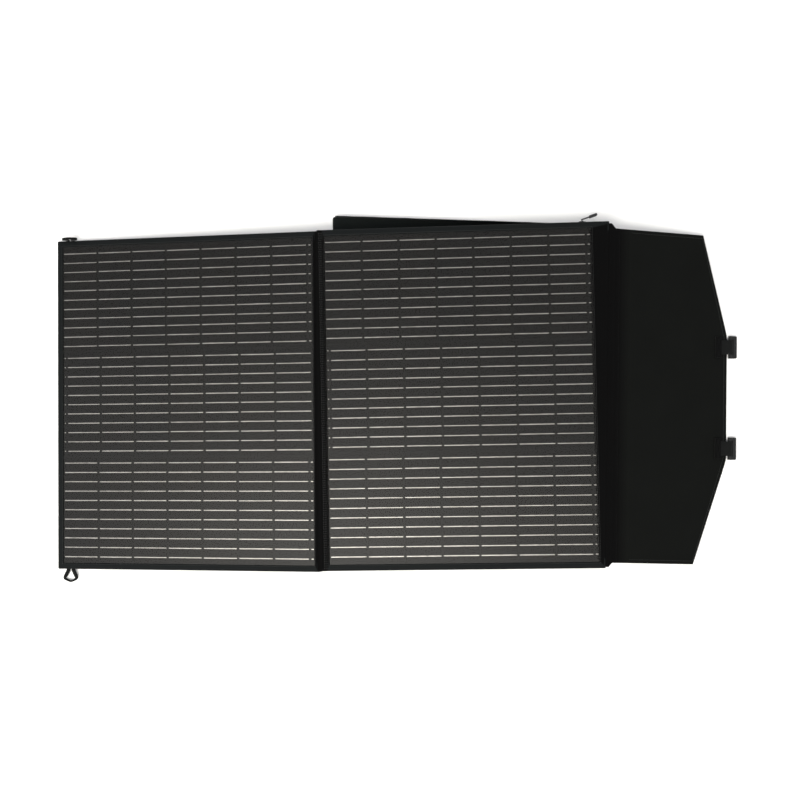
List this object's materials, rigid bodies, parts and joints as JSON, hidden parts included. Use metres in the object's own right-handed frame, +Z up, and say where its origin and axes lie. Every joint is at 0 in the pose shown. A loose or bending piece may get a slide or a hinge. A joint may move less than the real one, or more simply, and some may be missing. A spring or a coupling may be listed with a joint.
{
  "type": "folding solar suitcase",
  "caption": "Folding solar suitcase, opened flat, with fabric hinge, closing flap with clips, zipped back pouch with charge controller, carry handle and fold-out stands.",
  "frame": {"origin": "middle of the bounding box of the open case, on the ground that it lies on", "axes": "+X along the open case from the left panel to the closing flap, +Y across it towards the mouth of the back pouch, +Z up, out of the solar cells"},
  "size_m": [1.1836, 0.633, 0.0431],
  "materials": {
    "shell_fabric": "coated woven polyester, fine plain weave, matt black",
    "border_fabric": "coated woven polyester, topstitched, matt black",
    "webbing": "ribbed woven webbing, matt black",
    "clear_sheet": "clear fine-textured cover film, semi-matt",
    "solar_cells": "dark grey solar cells with silver ribbons",
    "glass_fibre_board": "glass fibre laminate, dark grey, matt",
    "stiffener_board": "stiff plastic board, matt",
    "black_plastic": "moulded black plastic, fine texture",
    "grey_plastic": "moulded dark grey plastic, fine texture",
    "display_window": "grey-green display window, gloss",
    "button_rubber": "soft grey rubber, matt",
    "grip_rubber": "padded black grip, matt",
    "zinc_alloy": "dark plated zinc alloy, satin"
  },
  "bodies": {
    "right_panel": {"right_border": "border_fabric", "right_front_sheet": "clear_sheet", "right_cell_row_a": "solar_cells", "right_cell_row_b": "solar_cells", "right_cell_row_c": "solar_cells", "right_board": "glass_fibre_board", "right_back_cover": "shell_fabric", "right_junction_box": "black_plastic", "right_junction_lid": "black_plastic", "right_diode_block": "grey_plastic", "right_cable_gland": "black_plastic", "right_stand_hinge_strip": "webbing", "pouch_outer_wall": "shell_fabric", "pouch_left_gusset": "shell_fabric", "pouch_right_gusset": "shell_fabric", "pouch_low_gusset": "shell_fabric", "zip_tape_inner": "webbing", "zip_tape_outer": "webbing", "controller_base": "grey_plastic", "controller_cover": "grey_plastic", "controller_circuit_board": "glass_fibre_board", "controller_display": "display_window", "controller_terminals": "black_plastic"},
    "hinge_strip": {"hinge_strip": "shell_fabric"},
    "left_panel": {"left_border": "border_fabric", "left_front_sheet": "clear_sheet", "left_cell_row_a": "solar_cells", "left_cell_row_b": "solar_cells", "left_cell_row_c": "solar_cells", "left_board": "glass_fibre_board", "left_back_cover": "shell_fabric", "left_junction_box": "black_plastic", "left_junction_lid": "black_plastic", "left_diode_block": "grey_plastic", "left_cable_gland": "black_plastic", "left_stand_hinge_strip": "webbing", "upper_clip_receiver": "black_plastic", "lower_clip_receiver": "black_plastic"},
    "spine": {"spine_liner": "shell_fabric", "spine_cover": "shell_fabric"},
    "flap": {"flap_lining": "shell_fabric", "flap_board": "stiffener_board", "flap_cover": "shell_fabric", "upper_clip_webbing": "webbing", "lower_clip_webbing": "webbing"},
    "upper_clip": {"upper_clip": "black_plastic"},
    "lower_clip": {"lower_clip": "black_plastic"},
    "handle": {"upper_handle_strap": "webbing", "lower_handle_strap": "webbing", "handle_grip": "grip_rubber"},
    "zip_slider": {"zip_slider": "zinc_alloy"},
    "zip_pull": {"zip_pull": "zinc_alloy"},
    "right_stand": {"right_stand_board": "shell_fabric"},
    "left_stand": {"left_stand_board": "shell_fabric"},
    "upper_loop": {"upper_strap_loop": "webbing"},
    "lower_loop": {"lower_strap_loop": "webbing"},
    "button_menu": {"button_menu": "button_rubber"},
    "button_down": {"button_down": "button_rubber"},
    "button_up": {"button_up": "button_rubber"}
  },
  "joints": [
    {"name": "hinge_strip_fold", "type": "hinge", "parent": "right_panel", "child": "hinge_strip", "pos_m": [-0.11559, -0.00482, 0.043], "axis": [0, 1, 0], "range_deg": [-5, 92.06]},
    {"name": "left_panel_fold", "type": "hinge", "parent": "hinge_strip", "child": "left_panel", "pos_m": [-0.11859, -0.00482, 0.04289], "axis": [0, 1, 0], "range_deg": [-5, 92.06]},
    {"name": "spine_fold", "type": "hinge", "parent": "right_panel", "child": "spine", "pos_m": [0.36841, -0.00782, 0.044], "axis": [-0.0358, -0.9994, 0], "range_deg": [-10, 100.71]},
    {"name": "flap_fold", "type": "hinge", "parent": "spine", "child": "flap", "pos_m": [0.39786, -0.00887, 0.03838], "axis": [-0.0358, -0.9994, 0], "range_deg": [-8, 90]},
    {"name": "upper_clip_swing", "type": "hinge", "parent": "flap", "child": "upper_clip", "pos_m": [0.57994, 0.07067, 0.00551], "axis": [-0.0358, -0.9994, 0], "range_deg": [-30, 6], "stiffness_Nm_per_rad": 0.01},
    {"name": "lower_clip_swing", "type": "hinge", "parent": "flap", "child": "lower_clip", "pos_m": [0.57378, -0.10122, 0.00551], "axis": [-0.0358, -0.9994, 0], "range_deg": [-30, 6], "stiffness_Nm_per_rad": 0.01},
    {"name": "handle_swing", "type": "hinge", "parent": "spine", "child": "handle", "pos_m": [0.38182, -0.0083, 0.03431], "axis": [0.0358, 0.9994, 0], "range_deg": [-4, 70]},
    {"name": "zip_slide", "type": "slide", "parent": "right_panel", "child": "zip_slider", "axis": [-0.9978, 0.0658, 0], "range_m": [0, 0.415]},
    {"name": "zip_pull_swing", "type": "hinge", "parent": "zip_slider", "child": "zip_pull", "pos_m": [0.33592, 0.29586, 0.011], "axis": [0, 0, 1], "range_deg": [-15, 130]},
    {"name": "right_stand_swing", "type": "hinge", "parent": "right_panel", "child": "right_stand", "pos_m": [0.12391, -0.03282, 0.0327], "axis": [-1, 0, 0], "range_deg": [-55, 0]},
    {"name": "left_stand_swing", "type": "hinge", "parent": "left_panel", "child": "left_stand", "pos_m": [-0.26616, -0.03301, 0.02167], "axis": [-0.9973, 0.0087, -0.0736], "range_deg": [-55, 0]},
    {"name": "upper_loop_swing", "type": "hinge", "parent": "left_panel", "child": "upper_loop", "pos_m": [-0.56353, 0.2886, 0.00605], "axis": [0.9973, -0.0087, 0.0736], "range_deg": [-87, 1], "stiffness_Nm_per_rad": 0.004},
    {"name": "lower_loop_swing", "type": "hinge", "parent": "left_panel", "child": "lower_loop", "pos_m": [-0.56859, -0.29337, 0.00568], "axis": [-0.9973, 0.0087, -0.0736], "range_deg": [-25, 50], "stiffness_Nm_per_rad": 0.004},
    {"name": "button_menu_press", "type": "slide", "parent": "right_panel", "child": "button_menu", "axis": [0, 0, 1], "range_m": [0, 0.0012], "stiffness_N_per_m": 300, "springref_m": -0.0005},
    {"name": "button_down_press", "type": "slide", "parent": "right_panel", "child": "button_down", "axis": [0, 0, 1], "range_m": [0, 0.0012], "stiffness_N_per_m": 300, "springref_m": -0.0005},
    {"name": "button_up_press", "type": "slide", "parent": "right_panel", "child": "button_up", "axis": [0, 0, 1], "range_m": [0, 0.0012], "stiffness_N_per_m": 300, "springref_m": -0.0005}
  ]
}
